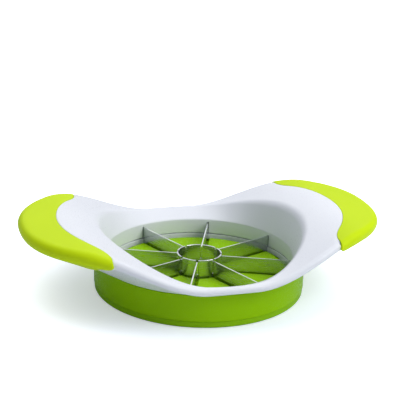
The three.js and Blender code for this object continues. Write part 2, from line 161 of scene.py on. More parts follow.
# Stage
FLOOR_RADIUS = 4  # metres, as the lamps' places and sizes
FLOOR_COLOUR = "#e7ebf1"  # for the light that it throws back on the object
FLOOR_SEEN_COLOUR = "#d6ddeb"
FLOOR_GLOW = 0.42  # added where the camera sees the floor, so that only deep shade shows on it
SHADE_START = 58  # distance from the middle up to which that glow is even, in millimetres
SHADE_END = 115  # distance at which it reaches full white, so that the shade stays close round the object
WORLD_COLOUR = "#e6ebf5"
WORLD_FILL = 0.31
LAMP_AIM = (0, 0, 0.02)
LAMPS = [
    ("overhead", (0.0, 0.35, 1.3), (1.4, 1.4), 9.6, "#ffffff"),
    ("key", (0.78, -0.62, 0.9), (0.8, 0.8), 10.5, "#fffefa"),
    ("back", (0.25, 1.1, 0.6), (1.3, 0.5), 2.2, "#ffffff"),
]

# Camera, worked out from the outlines in the photograph
CAMERA_DISTANCE = 0.6
CAMERA_AZIMUTH = math.radians(-17.5)
CAMERA_ELEVATION = math.radians(23.13)
CAMERA_ROLL = math.radians(2.03)
CAMERA_AIM = (-0.00065, 0.04374)  # to the right of the origin and above it, across the view
CAMERA_FOCUS = 1151.85 / 400  # focal length as a share of the picture's width
SENSOR_WIDTH = 36


def lerp(low, high, share):
    return low + (high - low) * share


# The frame's shape


def climb(x):
    """Share of the saddle's rise that is reached at a distance from the middle."""
    share = min(max((abs(x) - RISE_START) / (RISE_END - RISE_START), 0), 1)
    return share * share * (3 - 2 * share)


def climb_slope(x):
    share = min(max((abs(x) - RISE_START) / (RISE_END - RISE_START), 0), 1)
    return 6 * share * (1 - share) * SADDLE_DROP / (RISE_END - RISE_START)


def top_height(x):
    return lerp(SADDLE_HEIGHT, HANDLE_HEIGHT, climb(x))


def outline_radius(angle):
    """Distance of the frame's outline from the middle."""
    along = abs(math.cos(angle)) / HALF_LENGTH
    across = abs(math.sin(angle)) / HALF_WIDTH
    return (along**OUTLINE_EXPONENT + across**OUTLINE_EXPONENT) ** (-1 / OUTLINE_EXPONENT)


def grip_start(angle, setback=0, arm_end=GRIP_ARM_END, corner=GRIP_CORNER):
    """Distance from the middle at which a wing's grip begins, eased at the corner by the arm's end."""
    along = max(abs(math.cos(angle)), 1e-6)
    across = math.sin(angle)
    radius = GRIP_ARC_RADIUS + setback
    arc = GRIP_ARC_CENTRE * along + math.sqrt(radius**2 - (GRIP_ARC_CENTRE * across) ** 2)
    end = (arm_end + setback) / along
    near = max(corner - abs(arc - end), 0) / corner
    return max(arc, end) + near * near * corner / 4


def arm_end_angle(setback=0, under=0, arm_end=GRIP_ARM_END, corner=GRIP_CORNER):
    """Angle at which the arm's end meets the frame's outline, or an outline drawn in under the grips."""
    low, high = 0, QUARTER
    while high - low > 1e-7:
        middle = (low + high) / 2
        if grip_start(middle, setback, arm_end, corner) < Station(middle, under).outer:
            low = middle
        else:
            high = middle
    return low


class Station:
    """The frame's section at one angle: the circle of its rounded edge, and the lines that run into it.

    Without under it is the grips' section. Under draws the shells' own in from it, more at the handles.
    """

    def __init__(self, angle, under=0):
        self.direction = abs(math.cos(angle))
        share = climb(outline_radius(angle) * self.direction)
        self.outer = outline_radius(angle) - under * share
        shell_edge = lerp(FRONT_EDGE, SHELL_EDGE, share)
        grip_edge = lerp(FRONT_EDGE, HANDLE_EDGE, share**4)
        self.edge = (shell_edge if under else grip_edge) / 2
        self.centre = self.outer - self.edge
        self.tilt = self.slope(self.centre)
        self.crown_end = self.centre - self.edge * math.sin(self.tilt)
        self.seam = self.top(self.crown_end) - self.edge * math.cos(self.tilt)
        run = self.centre - SKIRT_RADIUS
        rise = self.seam - FRAME_SEAT
        self.hull_tilt = math.atan2(rise, run) - math.asin(self.edge / math.hypot(run, rise))
        self.hull_end = self.centre + self.edge * math.sin(self.hull_tilt)
        self.lip = lerp(FRONT_LIP, SIDE_LIP, climb(RIDGE_RADIUS * self.direction))
        self.lip_tilt = self.slope(RIDGE_RADIUS)
        self.lip_end = RIDGE_RADIUS - self.lip * math.sin(self.lip_tilt)
        self.lip_height = self.top(self.lip_end) - self.lip * math.cos(self.lip_tilt)
        run = RIDGE_RADIUS - COLLAR_INNER
        rise = self.lip_height - THROAT_TOP
        self.mouth_slope = math.atan2(rise, run) + math.asin(self.lip / math.hypot(run, rise))

    def top(self, radius):
        return top_height(radius * self.direction)

    def slope(self, radius):
        return math.atan(climb_slope(radius * self.direction) * self.direction)

    def hull(self, radius):
        return FRAME_SEAT + (radius - SKIRT_RADIUS) * math.tan(self.hull_tilt)

    def edge_turn(self, radius):
        return math.acos(max(min((radius - self.centre) / self.edge, 1), -1))

    def upper(self, radius):
        """Height of the outer skin's upper side, and the angle that it faces."""
        if radius < self.crown_end:
            return self.top(radius), QUARTER + self.slope(radius)
        turn = self.edge_turn(radius)
        return self.seam + self.edge * math.sin(turn), turn

    def lower(self, radius):
        """Height of the outer skin's underside, and the angle that it faces."""
        if radius < self.hull_end:
            return self.hull(radius), self.hull_tilt - QUARTER
        turn = self.edge_turn(radius)
        return self.seam - self.edge * math.sin(turn), -turn


# Profiles


def arc(centre, radius, start, end, steps):
    """Points on an arc in a section, as radius and height."""
    turns = [lerp(start, end, share) for share in even_shares(steps)]
    return [(centre[0] + radius * math.cos(turn), centre[1] + radius * math.sin(turn)) for turn in turns]


ROUND_STEPS = 5
SUPPORT = 0.15  # a rounded corner has one more point this far past it, which keeps its faces flat


def filleted(corners, steps=ROUND_STEPS):
    """Points round a closed outline. Each corner is given as two coordinates and its rounding."""
    spots = [Vector(corner[:2]) for corner in corners]
    points = []
    for i, spot in enumerate(spots):
        rounding = corners[i][2]
        if not rounding:
            points.append(spot)
            continue
        back = (spots[i - 1] - spot).normalized()
        ahead = (spots[(i + 1) % len(spots)] - spot).normalized()
        half = back.angle(ahead) / 2
        reach = rounding / math.tan(half)
        centre = spot + (back + ahead).normalized() * (rounding / math.sin(half))
        first = spot + back * reach - centre
        start = math.atan2(first.y, first.x)
        sweep = math.copysign(2 * QUARTER - 2 * half, back.x * ahead.y - back.y * ahead.x) * -1
        points.append(spot + back * (reach + SUPPORT))
        points += [Vector(point) for point in arc(centre, rounding, start, start + sweep, steps)]
        points.append(spot + ahead * (reach + SUPPORT))
    return points


def evenly(path, shares):
    """Points at shares of the length of a path."""
    points = [Vector(point) for point in path]
    lengths = [0]
    for near, far in zip(points, points[1:]):
        lengths.append(lengths[-1] + (far - near).length)
    placed = []
    piece = 0
    for share in shares:
        target = share * lengths[-1]
        while piece < len(points) - 2 and lengths[piece + 1] < target:
            piece += 1
        span = max(lengths[piece + 1] - lengths[piece], 1e-9)
        placed.append(points[piece].lerp(points[piece + 1], (target - lengths[piece]) / span))
    return placed


def even_shares(count):
    return [step / count for step in range(count + 1)]


def shares_towards_end(count):
    """Shares that lie closer together towards the end."""
    return [math.sin(QUARTER * share) for share in even_shares(count)]


# Meshes

QUARTER_ROWS = 64
UNDER_END = (GRIP_ARM_END + GRIP_END_ROUND, GRIP_UNDER_CORNER)  # the arm's end on the underside


def row_turns(*end):
    """Angles of the rows in a quarter, eased so that one lies at the arms' ends, and that row's number."""
    end_turn = arm_end_angle(0, GRIP_PROUD, *end)
    end_row = round(QUARTER_ROWS * end_turn / QUARTER)
    gripped = [end_turn * row / end_row for row in range(end_row)]
    bare = [lerp(end_turn, QUARTER, share) for share in even_shares(QUARTER_ROWS - end_row)]
    return gripped + bare, end_row


def new_object(name, bm, keep_faces=False):
    """Makes a finished mesh object out of a bmesh in millimetres, with its faces turned outwards."""
    if not keep_faces:
        bmesh.ops.recalc_face_normals(bm, faces=bm.faces)
    bmesh.ops.scale(bm, vec=(MM, MM, MM), verts=bm.verts)
    mesh = bpy.data.meshes.new(name)
    bm.to_mesh(mesh)
    bm.free()
    made = bpy.data.objects.new(name, mesh)
    bpy.context.scene.collection.objects.link(made)
    mesh.shade_smooth()
    return made


def spun_form(name, section, *end):
    """Spins a closed strip round Z, then moves each ring of it to the section's place at its own angle."""
    turns, end_row = row_turns(*end)
    rows = [section(Station(turn, GRIP_PROUD), turn, row < end_row) for row, turn in enumerate(turns)]
    bm = bmesh.new()
    strip = [bm.verts.new((1 + column, 0, 0)) for column in range(len(rows[0]))]
    edges = [bm.edges.new(pair) for pair in zip(strip, strip[1:] + strip[:1])]
    whole = {"cent": (0, 0, 0), "axis": (0, 0, 1), "angle": 4 * QUARTER, "use_merge": True}
    bmesh.ops.spin(bm, geom=strip + edges, steps=4 * QUARTER_ROWS, **whole)
    for vert in bm.verts:
        column = round(vert.co.xy.length) - 1
        row = round(math.atan2(abs(vert.co.y), abs(vert.co.x)) / QUARTER * QUARTER_ROWS)
        radius, height = rows[row][column]
        turn = turns[row]
        x = math.copysign(radius * math.cos(turn), vert.co.x)
        y = math.copysign(radius * math.sin(turn), vert.co.y)
        vert.co = (x, y, height)
    return new_object(name, bm)


def spin_profile(bm, profile, steps):
    """Spins a profile of radius and height about Z, as a closed ring or a disc."""
    points = [bm.verts.new((radius, 0, height)) for radius, height in profile]
    edges = [bm.edges.new(pair) for pair in zip(points, points[1:])]
    if min(profile[0][0], profile[-1][0]) > 0:
        edges.append(bm.edges.new((points[-1], points[0])))
    whole = {"cent": (0, 0, 0), "axis": (0, 0, 1), "angle": 4 * QUARTER, "use_merge": True}
    bmesh.ops.spin(bm, geom=points + edges, steps=steps, **whole)
    bmesh.ops.remove_doubles(bm, verts=bm.verts, dist=MM)


TURN_STEPS = 192
SCREW_STEPS = 48


def turned(name, profile, steps=TURN_STEPS):
    """A piece turned from a profile."""
    bm = bmesh.new()
    spin_profile(bm, profile, steps)
    return new_object(name, bm)


def raise_plate(bm, outline, low, high, rounding=0):
    """Raises a closed outline into a plate and rounds its upper rim."""
    floor = bm.faces.new([bm.verts.new((x, y, low)) for x, y in outline])
    raised = bmesh.ops.extrude_face_region(bm, geom=[floor])["geom"]
    verts = [item for item in raised if isinstance(item, bmesh.types.BMVert)]
    bmesh.ops.translate(bm, vec=(0, 0, high - low), verts=verts)
    if rounding:
        rim = [edge for edge in bm.edges if all(vert in verts for vert in edge.verts)]
        how = {"segments": 4, "profile": 0.5, "affect": "EDGES", "material": -1, "clamp_overlap": True}
        bmesh.ops.bevel(bm, geom=rim, offset=rounding, **how)


def blocks(sizes):
    """One object of box cutters, each with its low and high corner and its turn about Z."""
    bm = bmesh.new()
    for low, high, turn in sizes:
        made = bmesh.ops.create_cube(bm, size=1)["verts"]
        bmesh.ops.scale(bm, vec=Vector(high) - Vector(low), verts=made)
        bmesh.ops.translate(bm, vec=(Vector(low) + Vector(high)) / 2, verts=made)
        bmesh.ops.rotate(bm, cent=(0, 0, 0), matrix=Quaternion((0, 0, 1), turn).to_matrix(), verts=made)
    return new_object("cutter", bm)


def combine(piece, other, operation="DIFFERENCE"):
    """Cuts a shape out of a piece, or joins it on, and clears the other shape away."""
    modifier = piece.modifiers.new("combine", "BOOLEAN")
    modifier.object = other
    modifier.operation = operation
    modifier.solver = "EXACT"
    graph = bpy.context.evaluated_depsgraph_get()
    combined = bpy.data.meshes.new_from_object(piece.evaluated_get(graph))
    piece.modifiers.clear()
    old = piece.data
    piece.data = combined
    bpy.data.meshes.remove(old)
    bpy.data.objects.remove(other)
    piece.data.name = piece.name
    return piece


def finish_piece(piece, material, slot, body, *nodes, sharp=None):
    """Gives a new piece its finish, its body and the frame nodes that it stands for."""
    piece.data.materials.clear()
    piece.data.materials.append(material)
    if sharp:
        piece.data.shade_smooth()
        piece.data.set_sharp_from_angle(angle=math.radians(sharp))
    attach(piece, body)
    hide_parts(*nodes)


# Shells of the frame

SKIN_STEPS = 40  # points along a shell's outer skin
EDGE_STEPS = 16
LIP_STEPS = 10
INSIDE_STEPS = 8
BARE_EDGE_SHARES = (0.3, 0.6, 1)  # of the skin, across the seam where no grip covers it
SHARP_PLASTIC = 42  # degrees between faces from which an edge is drawn sharp
SHARP_STEEL = 30


def rounded_end(skin, radius):
    """Rounded edge of a shell where a grip begins, fitted in a few steps to the way the skin faces."""
    start = radius - SHELL_ROUND
    for _ in range(4):
        height, facing = skin(start)
        start = radius - SHELL_ROUND + SHELL_ROUND * math.cos(facing)
    centre = (radius - SHELL_ROUND, height - SHELL_ROUND * math.sin(facing))
    return start, arc(centre, SHELL_ROUND, facing, 0, ROUND_STEPS)


def cut_skin(path, skin, radius):
    """A skin's points from the mouth outwards, ended at a grip with a rounded edge."""
    start, edge = rounded_end(skin, radius)
    return [point for point in path if point[0] < start - SEAM_GAP] + edge


def top_section(station, turn, gripped):
    """Section of the top shell: collar, mouth, lip, crown and the upper half of the edge."""
    slope = station.mouth_slope
    lip_centre = (RIDGE_RADIUS, station.lip_height)
    lip = arc(lip_centre, station.lip, QUARTER + slope, QUARTER + station.lip_tilt, LIP_STEPS)
    throat = Vector((COLLAR_INNER, THROAT_TOP))
    reach = THROAT_ROUND * math.tan((QUARTER - slope) / 2)
    slope_start = throat + Vector((math.cos(slope), math.sin(slope))) * reach
    bend_centre = (COLLAR_INNER + THROAT_ROUND, THROAT_TOP - reach)
    bend = arc(bend_centre, THROAT_ROUND, 2 * QUARTER, QUARTER + slope, ROUND_STEPS)
    mouth = [slope_start.lerp(Vector(lip[0]), share) for share in even_shares(INSIDE_STEPS)]
    collar = [
        (COLLAR_INNER + RIM_ROUND, COLLAR_BOTTOM),
        (COLLAR_INNER, COLLAR_BOTTOM + RIM_ROUND),
        (COLLAR_INNER, (COLLAR_BOTTOM + THROAT_TOP) / 2),
    ]
    crown_radii = [lerp(station.lip_end, station.crown_end, share) for share in even_shares(SKIN_STEPS)]
    crown = [(radius, station.top(radius)) for radius in crown_radii]
    roll = arc((station.centre, station.seam), station.edge, QUARTER + station.tilt, 0, EDGE_STEPS)
    run = crown + roll[1:]
    if gripped:
        radius = grip_start(turn)
        run = cut_skin(run, station.upper, radius)
        height = run[-1][1]
        near = min(max(height - GRIP_WALL - FIT_GAP, station.seam + SHELL_ROUND), height - SHELL_ROUND / 2)
        reach = max(min(radius + TONGUE, station.centre), radius + SEAM_GAP)
        rise = station.upper(reach)[0] - station.upper(radius)[0]
        closing = [(radius, near), (reach, near + rise), (reach, near + rise - SHELL_ROUND)]
        inner_radius = min(radius - SKIN, station.crown_end)
    else:
        closing = [(station.outer - SKIN * share, station.seam) for share in BARE_EDGE_SHARES]
        inner_radius = station.crown_end
    under_radii = [lerp(inner_radius, station.lip_end, share) for share in even_shares(INSIDE_STEPS)]
    under = [(radius, station.top(radius) - SKIN) for radius in under_radii]
    inside = [
        (RIDGE_RADIUS - station.lip + SKIN, station.lip_height),
        (COLLAR_OUTER, LAND_TOP + FIT_GAP),
        (COLLAR_OUTER, COLLAR_BOTTOM + RIM_ROUND),
        (COLLAR_OUTER - RIM_ROUND, COLLAR_BOTTOM),
    ]
    skin = [*bend, *mouth[1:], *lip[1:], *evenly(run, shares_towards_end(SKIN_STEPS))[1:]]
    return [*collar, *skin, *closing, *under, *inside]


def bottom_section(station, turn, gripped):
    """Section of the bottom shell: the land on the base's rim, the hull and the lower half of the edge."""
    seam = station.seam - SEAM_GAP
    hull_radii = [lerp(SKIRT_RADIUS, station.hull_end, share) for share in even_shares(SKIN_STEPS // 2)]
    hull = [(radius, station.hull(radius)) for radius in hull_radii]
    start = math.asin(SEAM_GAP / station.edge)
    middle = (station.centre, station.seam)
    roll = arc(middle, station.edge, station.hull_tilt - QUARTER, -start, EDGE_STEPS)
    run = hull + roll[1:]
    if gripped:
        radius = grip_start(turn, 0, *UNDER_END)
        run = cut_skin(run, station.lower, radius)
        height = run[-1][1]
        near = max(min(height + SHELL_ROUND + FIT_GAP, seam - SHELL_ROUND), height + SHELL_ROUND / 2)
        reach = max(min(radius + TONGUE, station.centre), radius + SEAM_GAP)
        rise = station.lower(reach)[0] - station.lower(radius)[0]
        closing = [(radius, near), (reach, near + rise), (reach, near + rise + SHELL_ROUND)]
        inner_radius = min(radius - SKIN, station.hull_end)
    else:
        closing = [(station.outer - SKIN * share, seam) for share in BARE_EDGE_SHARES]
        inner_radius = station.hull_end
    over_radii = [lerp(inner_radius, SKIRT_RADIUS, share) for share in even_shares(INSIDE_STEPS)]
    over = [(radius, min(station.hull(radius) + SKIN, seam)) for radius in over_radii]
    over[-1] = (SKIRT_RADIUS, LAND_TOP)
    land = [
        (COLLAR_OUTER + FIT_GAP, LAND_TOP),
        (COLLAR_OUTER + FIT_GAP, FRAME_SEAT),
        (SKIRT_RADIUS - RIM_ROUND, FRAME_SEAT),
    ]
    return [*evenly(run, shares_towards_end(SKIN_STEPS)), *closing, *over, *land]


def screw_middle(node):
    """Middle of a screw's box, in millimetres."""
    low, high = (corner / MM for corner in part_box(node))
    return (low + high) / 2


def make_screw_pockets(shell):
    """Tubes that carry the screws' seats inside the lower shell, each with a stepped hole."""
    walls = bmesh.new()
    holes = bmesh.new()
    for node in SCREWS:
        middle = screw_middle(node)
        station = Station(math.atan2(middle.y, middle.x), GRIP_PROUD)
        radius = SCREW_POCKET + POCKET_WALL
        both = {"radius1": radius, "radius2": radius}
        wall = bmesh.ops.create_cone(walls, cap_ends=True, segments=32, depth=OVERRUN, **both)
        for vert in wall["verts"]:
            place = vert.co.xy + middle.xy
            height = station.hull(place.length) + SKIN / 2 if vert.co.z < 0 else POCKET_TOP
            vert.co = (place.x, place.y, height)
        for radius, low, high in (
            (SCREW_POCKET, FRAME_SEAT - OVERRUN, SCREW_SEAT),
            (SCREW_PILOT, SCREW_SEAT - OVERRUN, POCKET_TOP + OVERRUN),
        ):
            both = {"radius1": radius, "radius2": radius}
            hole = bmesh.ops.create_cone(holes, cap_ends=True, segments=32, depth=high - low, **both)
            bmesh.ops.translate(holes, vec=(middle.x, middle.y, (low + high) / 2), verts=hole["verts"])
    combine(shell, new_object("pocket_walls", walls), "UNION")
    combine(shell, new_object("cutter", holes))


def make_shells(plastic):
    """Upper shell with its collar and blade slots, and lower shell with its screw pockets."""
    top = spun_form("top_cover", top_section)
    low = (COLLAR_INNER - OVERRUN, -SLOT_WIDTH / 2, COLLAR_BOTTOM - OVERRUN)
    high = (SLOT_END, SLOT_WIDTH / 2, SLOT_TOP)
    combine(top, blocks([(low, high, blade_turn(i)) for i in range(BLADE_COUNT)]))
    finish_piece(top, plastic, "white_plastic", "frame", "top_shell", sharp=SHARP_PLASTIC)
    bottom = spun_form("bottom_cover", bottom_section, *UNDER_END)
    make_screw_pockets(bottom)
    finish_piece(bottom, plastic, "white_plastic", "frame", "bottom_shell", sharp=SHARP_PLASTIC)


# Grips

GRIP_ROWS = 64
GRIP_COLUMNS = 28
GRIP_SPAN = 30  # half of the way across a grip, over the wing's edge and back
GRIP_TURN = 0.93  # share of the arm end's angle at which the grip's inner edge turns into the arm's end
GRIP_STEPS = 60
GRIP_HEM = 0.5  # width of the first and last faces, which keeps the rounding of the grip's border small
GRIP_ROUND_LEVELS = 2
GRIP_END_TURN = arm_end_angle(SEAM_GAP)
GRIP_UNDER_TURN = arm_end_angle(SEAM_GAP, 0, *UNDER_END)


def grip_spot(share, back, recede, corner):
    """Place in plan on a row of the grip, back from the outline towards its inner edge."""
    outer_turn = share * lerp(GRIP_END_TURN, GRIP_UNDER_TURN, recede / GRIP_END_ROUND)
    inner_turn = outer_turn * GRIP_TURN
    outer_radius = outline_radius(outer_turn)
    inner_radius = grip_start(inner_turn, SEAM_GAP, GRIP_ARM_END + recede, corner)
    outer = Vector((math.cos(outer_turn), math.sin(outer_turn))) * outer_radius
    inner = Vector((math.cos(inner_turn), math.sin(inner_turn))) * inner_radius
    return outer.lerp(inner, back)


def grip_path(share):
    """The grip's outer skin across one row, from its upper edge over the wing's edge to its lower edge."""
    upper = []
    lower = []
    for step in even_shares(GRIP_STEPS):
        back = (1 - step) ** 2
        spot = grip_spot(share, back, 0, GRIP_CORNER)
        station = Station(math.atan2(spot.y, spot.x))
        upper.append(Vector((*spot, station.upper(spot.length)[0])))
        way = min(station.edge * station.edge_turn(spot.length) / GRIP_END_WAY, 1)
        recede = abs(share) ** 3 * GRIP_END_ROUND * way * way * (3 - 2 * way)
        spot = grip_spot(share, back, recede, lerp(GRIP_CORNER, GRIP_UNDER_CORNER, way))
        station = Station(math.atan2(spot.y, spot.x))
        lower.append(Vector((*spot, station.lower(spot.length)[0])))
    return upper + lower[-2::-1]


def hemmed(step, steps):
    """Share from -1 to 1 of a row or column of the grid, the outermost ones drawn out to the border."""
    within = (1 - GRIP_HEM / GRIP_SPAN) / (1 - 2 / steps)
    return min(max((2 * step / steps - 1) * within, -1), 1)


def make_grip(name, node, side, rubber):
    """A soft shell over a wing: a grid laid over the wing's skin, given a wall and rounded all round."""
    column_shares = [(hemmed(column, GRIP_COLUMNS) + 1) / 2 for column in range(GRIP_COLUMNS + 1)]
    bm = bmesh.new()
    bmesh.ops.create_grid(bm, x_segments=GRIP_ROWS, y_segments=GRIP_COLUMNS, size=1)
    rows = {}
    for vert in bm.verts:
        row = round((vert.co.x + 1) / 2 * GRIP_ROWS)
        if row not in rows:
            rows[row] = evenly(grip_path(hemmed(row, GRIP_ROWS)), column_shares)
        spot = rows[row][round((vert.co.y + 1) / 2 * GRIP_COLUMNS)]
        vert.co = (side * spot.x, spot.y, spot.z)
    bm.normal_update()
    highest = max(bm.faces, key=lambda face: face.calc_center_median().z)
    if highest.normal.z < 0:
        bmesh.ops.reverse_faces(bm, faces=bm.faces)
    piece = new_object(name, bm, keep_faces=True)
    wall = piece.modifiers.new("wall", "SOLIDIFY")
    wall.thickness = GRIP_WALL * MM
    wall.offset = -1
    rounding = piece.modifiers.new("rounding", "SUBSURF")
    rounding.levels = GRIP_ROUND_LEVELS
    rounding.render_levels = GRIP_ROUND_LEVELS
    finish_piece(piece, rubber, "lime_grip", "frame", node)


# Base, corer, retainer and screws


def blade_turn(index):
    """Angle of a blade, in the middle between two pads."""
    return (index + 0.5) * 4 * QUARTER / BLADE_COUNT


def pad_outline(low, high, clear, rounding):
    """Plan of one wedge between two blades: a sector that keeps clear of both, with rounded corners."""
    half_turn = 2 * QUARTER / BLADE_COUNT
    spread_low = half_turn - math.asin(min(clear / low, math.sin(half_turn)))
    spread_high = half_turn - math.asin(clear / high)
    rim = arc((0, 0), high, -spread_high, spread_high, 12)
    hub = arc((0, 0), low, spread_low, -spread_low, 4)
    corners = [(*rim[0], rounding), *((*spot, 0) for spot in rim[1:-1]), (*rim[-1], rounding)]
    if spread_low > 0:
        corners += [(*hub[0], rounding), *((*spot, 0) for spot in hub[1:-1]), (*hub[-1], rounding)]
    else:
        corners += [(*hub[0], rounding)]
    return filleted(corners, 4)


def turned_pads(outline, low, high, rounding=0):
    """The same wedge plate between each two blades."""
    bm = bmesh.new()
    for i in range(BLADE_COUNT):
        turn = Quaternion((0, 0, 1), 4 * QUARTER * i / BLADE_COUNT)
        spots = [(turn @ Vector((*spot, 0))).xy for spot in outline]
        raise_plate(bm, spots, low, high, rounding)
    return new_object("pads", bm)


def make_base(plastic, rubber):
    """Cup with eight wedge pads round a button on its floor, and the soft ring under it."""
    radius = BASE_HIGH.x
    top = BASE_HIGH.z
    bottom = FOOT_HIGH.z + FIT_GAP
    foot_top = bottom - SEAM_GAP
    floor = bottom + FLOOR_THICKNESS
    inner = radius - BASE_WALL
    rib_outer = radius - RIB_SETBACK
    rib_inner = rib_outer - RIB_WIDTH
    rib_low = BASE_LOW.z
    rib_round = RIB_WIDTH / 8
    groove_inner = CORER_HIGH.x - CORER_WALL - CORER_CLEARANCE
    groove_outer = CORER_HIGH.x + CORER_CLEARANCE
    profile = filleted(
        [
            (0, bottom, 0),
            (rib_inner, bottom, rib_round),
            (rib_inner, rib_low, rib_round),
            (rib_outer, rib_low, rib_round),
            (rib_outer, bottom, rib_round),
            (radius, bottom, rib_round),
            (radius, top, BASE_ROUND),
            (inner, top, BASE_ROUND),
            (inner, floor, BASE_ROUND),
            (groove_inner, floor, rib_round),
            (groove_inner, PAD_TOP, PAD_ROUND),
            (0, PAD_TOP, 0),
        ]
    )
    cup = turned("base", profile)
    clear = GROOVE_WIDTH / 2
    outline = pad_outline(groove_outer, PAD_RADIUS, clear, PAD_CORNER)
    pads = turned_pads(outline, floor - SUPPORT, PAD_TOP, PAD_ROUND)
    combine(cup, pads, "UNION")
    wall = clear + PAD_SKIN
    hollow_start = max(groove_outer + PAD_SKIN, wall / math.sin(2 * QUARTER / BLADE_COUNT) + PAD_SKIN)
    hollow = pad_outline(hollow_start, PAD_RADIUS - PAD_SKIN, wall, HOLLOW_CORNER)
    combine(cup, turned_pads(hollow, bottom - OVERRUN, PAD_TOP - PAD_SKIN))
    finish_piece(cup, plastic, "green_plastic", "base", "base_cup", sharp=SHARP_PLASTIC)
    outer = FOOT_HIGH.x
    foot_inner = outer - FOOT_WIDTH
    channel = rib_low - FIT_GAP
    foot = turned(
        "foot",
        filleted(
            [
                (foot_inner, FOOT_LOW.z, BASE_ROUND),
                (outer, FOOT_LOW.z, FOOT_ROUND),
                (outer, foot_top, rib_round),
                (rib_outer + FIT_GAP, foot_top, rib_round),
                (rib_outer + FIT_GAP, channel, rib_round),
                (rib_inner - FIT_GAP, channel, rib_round),
                (rib_inner - FIT_GAP, foot_top, rib_round),
                (foot_inner, foot_top, 2 * EDGE_BREAK),
            ]
        ),
    )
    finish_piece(foot, rubber, "green_foot", "base", "foot_ring", sharp=SHARP_PLASTIC)


def make_retainer(plastic):
    """Ring under the collar that shuts the blades' slots."""
    low = RETAINER_LOW.z
    high = RETAINER_HIGH.z
    corners = [
        (COLLAR_INNER, low, RETAINER_ROUND),
        (COLLAR_OUTER, low, RETAINER_ROUND),
        (COLLAR_OUTER, high, EDGE_BREAK),
        (COLLAR_INNER, high, EDGE_BREAK),
    ]
    ring = turned("retainer", filleted(corners))
    finish_piece(ring, plastic, "white_plastic", "frame", "blade_retainer", sharp=SHARP_PLASTIC)


def make_corer(steel):
    """Steel tube with a ground lower edge, notched from above for the blades."""
    outer = CORER_HIGH.x
    inner = outer - CORER_WALL
    low = CORER_LOW.z
    high = CORER_HIGH.z
    ground = low + CORER_GRIND
    corners = [
        (inner, low, 0),
        (outer, ground, CORER_ROUND),
        (outer, high, EDGE_BREAK),
        (inner, high, EDGE_BREAK),
    ]
    tube = turned("corer", filleted(corners))
    notch_low = (inner - OVERRUN, -SLOT_WIDTH / 2, COLLAR_BOTTOM - FIT_GAP)
    notch_high = (outer + OVERRUN, SLOT_WIDTH / 2, high + OVERRUN)
    combine(tube, blocks([(notch_low, notch_high, blade_turn(i)) for i in range(BLADE_COUNT)]))
    finish_piece(tube, steel, "blade_steel", "frame", "corer_ring", sharp=SHARP_STEEL)


def make_screws(steel):
    """Pan-head screws with a cross recess, driven up from below."""
    for node in SCREWS:
        low, high = (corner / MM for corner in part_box(node))
        middle = screw_middle(node)
        head_top = low.z + SCREW_HEAD_HEIGHT
        profile = filleted(
            [
                (0, low.z, 0),
                (SCREW_HEAD_RADIUS, low.z, SCREW_HEAD_ROUND),
                (SCREW_HEAD_RADIUS, head_top, EDGE_BREAK),
                (SCREW_SHANK, head_top, EDGE_BREAK / 2),
                (SCREW_SHANK, high.z - SCREW_SHANK, EDGE_BREAK / 2),
                (0, high.z, 0),
            ]
        )
        screw = turned(node.replace("screw", "pan_screw"), profile, SCREW_STEPS)
        for quarter in (0, QUARTER):
            bar = bmesh.new()
            made = bmesh.ops.create_cube(bar, size=1)["verts"]
            bmesh.ops.scale(bar, vec=RECESS, verts=made)
            for vert in made:
                if vert.co.z > 0:
                    vert.co.x *= RECESS_TAPER
            bmesh.ops.translate(bar, vec=(0, 0, low.z), verts=made)
            turn = Quaternion((0, 0, 1), quarter).to_matrix()
            bmesh.ops.rotate(bar, cent=(0, 0, 0), matrix=turn, verts=made)
            combine(screw, new_object("cutter", bar))
        turn = Quaternion((0, 0, 1), math.atan2(middle.y, middle.x)).to_matrix()
        screw.data.transform(Matrix.Translation((middle.x * MM, middle.y * MM, 0)) @ turn.to_4x4())
        finish_piece(screw, steel, "screw_steel", "frame", node, sharp=SHARP_STEEL)


# Materials

NOISE_MIDDLE = {"From Min": 0.3, "From Max": 0.7}  # where most of a noise lies
COLOUR_DRIFT = 38  # millimetres
STREAK_DEPTH = 0.01


def tone(code):
    """Linear colour of an sRGB hex value."""
    channels = [int(code[place : place + 2], 16) / 255 for place in (1, 3, 5)]
    linear = [part / 12.92 if part <= 0.04045 else ((part + 0.055) / 1.055) ** 2.4 for part in channels]
    return (*linear, 1)


def add(tree, kind, inputs=None, **settings):
    """Adds a node, sets it and links or sets its inputs."""
    made = tree.nodes.new(kind)
    for name, value in settings.items():
        setattr(made, name, value)
    for name, value in (inputs or {}).items():
        if isinstance(value, bpy.types.NodeSocket):
            tree.links.new(value, made.inputs[name])
        else:
            made.inputs[name].default_value = value
    return made


def new_material(name):
    """A material with an empty node tree."""
    material = bpy.data.materials.new(name)
    material.use_nodes = True
    material.node_tree.nodes.clear()
    return material, material.node_tree


def per_mm(size):
    """Scale of a pattern whose cells are this many millimetres wide."""
    return 1 / (size * MM)


